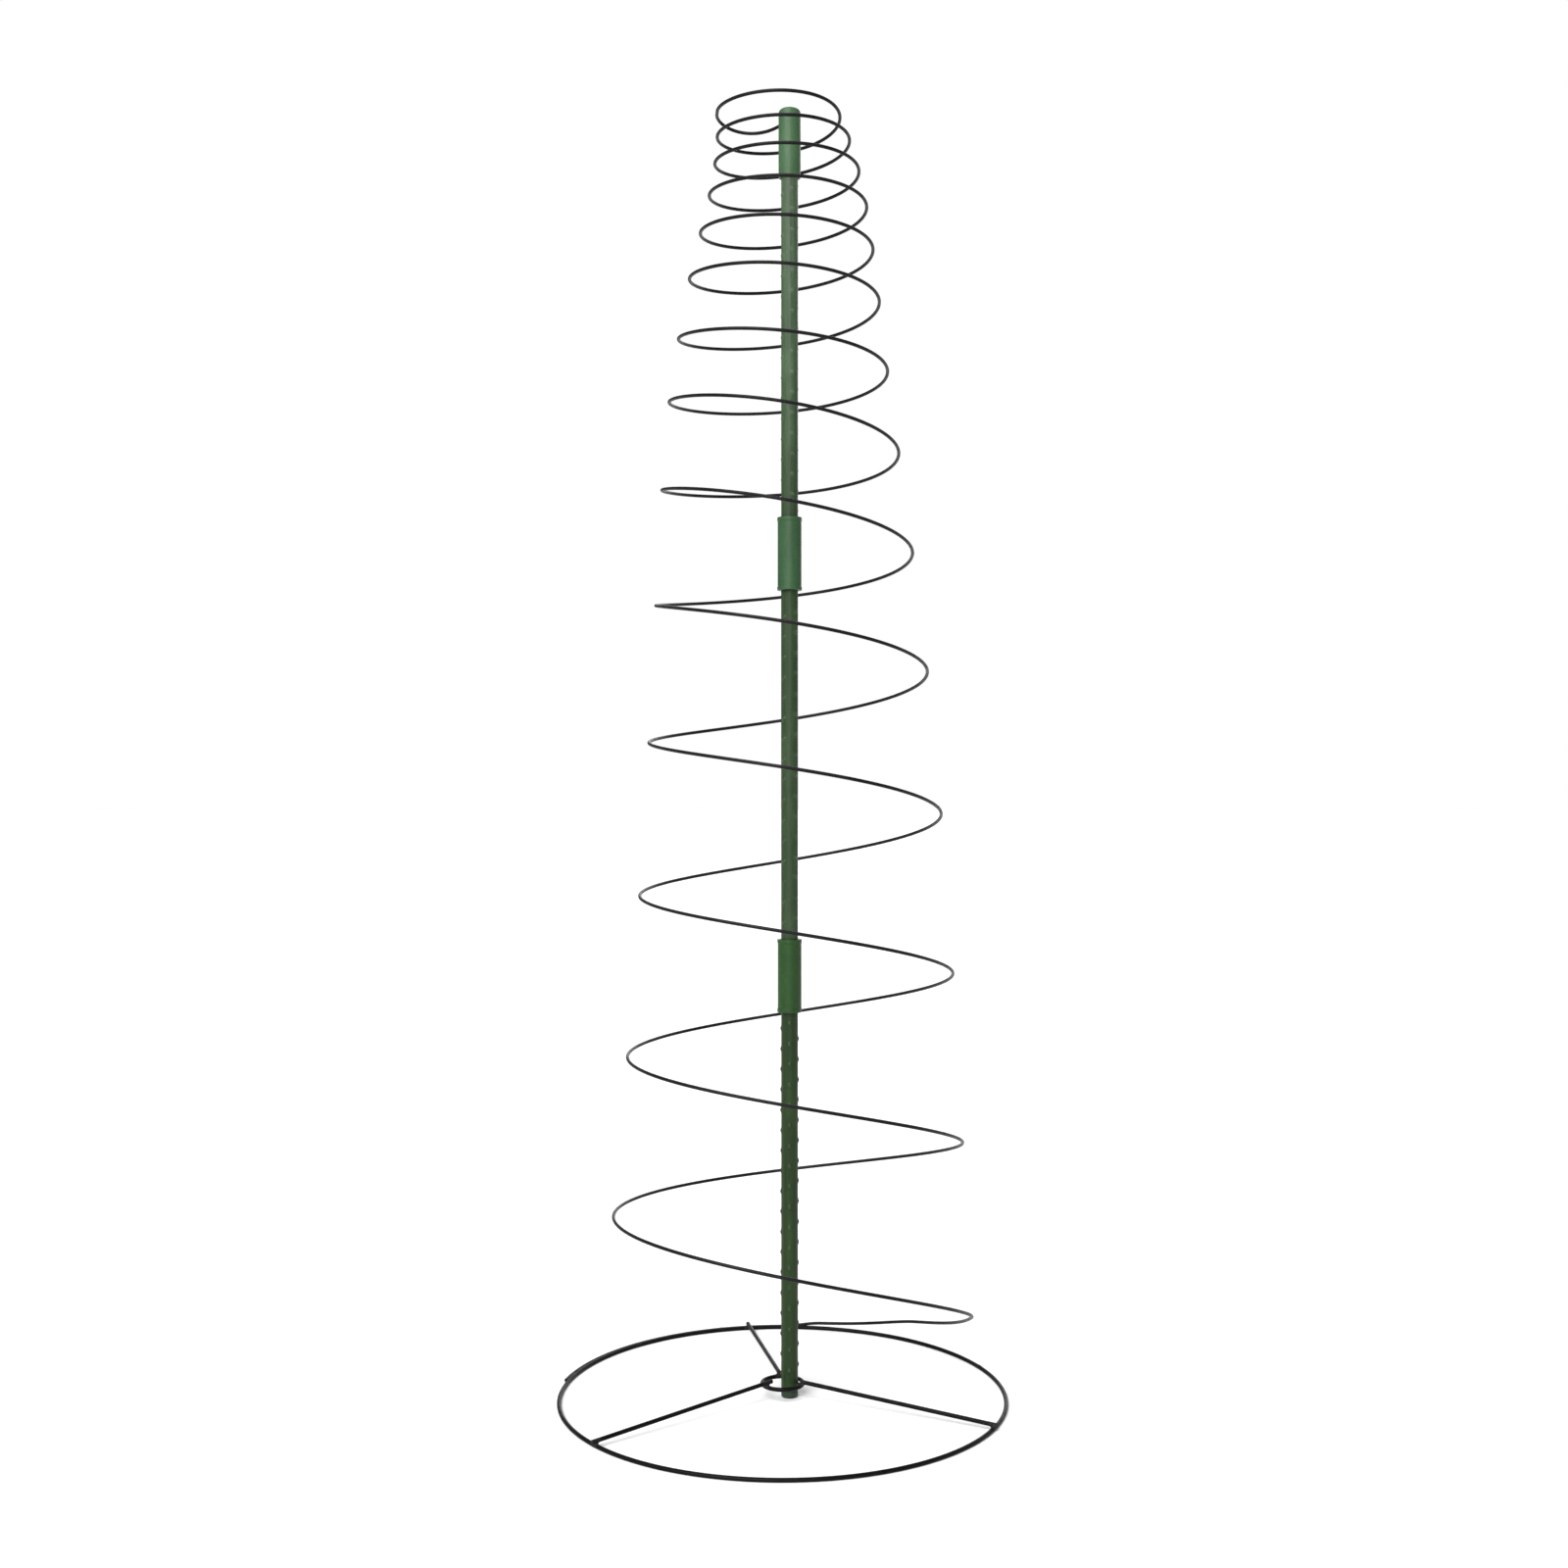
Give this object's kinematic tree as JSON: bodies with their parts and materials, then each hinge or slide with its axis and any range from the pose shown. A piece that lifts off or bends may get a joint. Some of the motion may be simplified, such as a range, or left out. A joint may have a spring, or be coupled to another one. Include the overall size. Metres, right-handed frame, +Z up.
{
  "type": "spiral plant obelisk",
  "caption": "Tapering wire spiral on a wire base ring with spokes, round a green sectional stake with joining sleeves and a top cap.",
  "frame": {"origin": "middle of the base ring on the ground", "axes": "+Z up along the stake, +Y to the back where the coil leaves the base ring, +X to the right"},
  "size_m": [0.32, 0.3226, 0.919],
  "materials": {
    "frame_wire": "satin black wire",
    "coil_wire": "satin black wire",
    "weld": "dull weld metal under thin black paint",
    "cap": "pale green moulded plastic",
    "upper_sleeve": "mid green moulded plastic",
    "lower_sleeve": "deep green moulded plastic",
    "upper_coat": "pale green plastic coat with grip nubs",
    "middle_coat": "olive green plastic coat with grip nubs",
    "lower_coat": "dark green plastic coat with grip nubs",
    "tube_steel": "plain steel tube",
    "plug": "dark green moulded plastic"
  },
  "bodies": {
    "base": {"base_ring": "frame_wire", "hub_ring": "frame_wire", "spoke_back": "frame_wire", "spoke_left": "frame_wire", "spoke_right": "frame_wire", "frame_welds": "weld", "coil": "coil_wire", "coil_tacks": "weld"},
    "cap": {"top_cap": "cap"},
    "upper_stake": {"upper_tube": "tube_steel", "upper_coat": "upper_coat", "upper_top_plug": "plug", "upper_foot_plug": "plug"},
    "middle_stake": {"middle_tube": "tube_steel", "middle_coat": "middle_coat", "middle_top_plug": "plug", "middle_foot_plug": "plug", "upper_sleeve": "upper_sleeve"},
    "lower_stake": {"lower_tube": "tube_steel", "lower_coat": "lower_coat", "lower_top_plug": "plug", "lower_foot_plug": "plug", "lower_sleeve": "lower_sleeve"}
  },
  "joints": [
    {"name": "stake_travel", "type": "slide", "parent": "base", "child": "cap", "axis": [0, 0, 1], "range_m": [-0.18, 0.03], "deforming": ["coil"]},
    {"name": "cap_pull", "type": "slide", "parent": "cap", "child": "upper_stake", "axis": [0, 0, -1], "range_m": [0, 0.028]},
    {"name": "upper_sleeve_pull", "type": "slide", "parent": "upper_stake", "child": "middle_stake", "axis": [0, 0, -1], "range_m": [0, 0.025]},
    {"name": "lower_sleeve_pull", "type": "slide", "parent": "middle_stake", "child": "lower_stake", "axis": [0, 0, -1], "range_m": [0, 0.025]}
  ]
}
